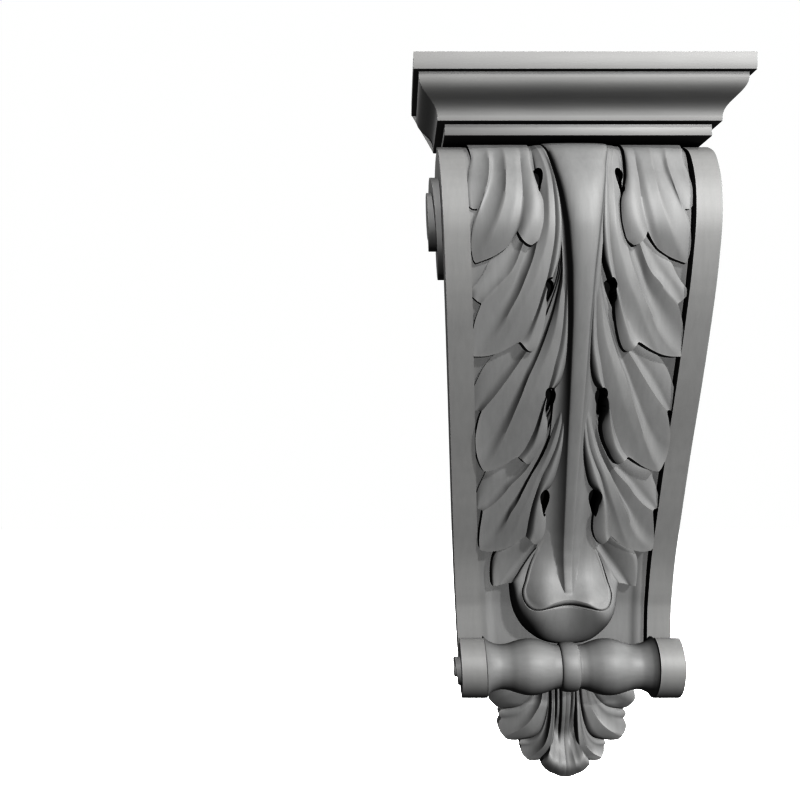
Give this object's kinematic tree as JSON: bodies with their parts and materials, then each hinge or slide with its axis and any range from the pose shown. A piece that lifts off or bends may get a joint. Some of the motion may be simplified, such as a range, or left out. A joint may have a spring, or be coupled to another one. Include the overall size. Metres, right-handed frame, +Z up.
{
  "type": "corbel bracket",
  "caption": "Slim wooden corbel: carved acanthus front between scroll cheeks, a turned bolster, a leaf drop and a moulded crown, hollow and open at the back.",
  "frame": {"origin": "middle of the soffit board's back edge, on the wall plane", "axes": "+Y into the wall, +Z up, the carved face looks along -Y"},
  "size_m": [0.18, 0.0747, 0.4036],
  "materials": {
    "painted_wood": "matt grey primer"
  },
  "bodies": {
    "root": {"crown_moulding": "painted_wood", "soffit_board": "painted_wood", "left_scroll": "painted_wood", "right_scroll": "painted_wood", "leaf_panel": "painted_wood", "bolster": "painted_wood", "pendant_leaf": "painted_wood"}
  },
  "joints": []
}
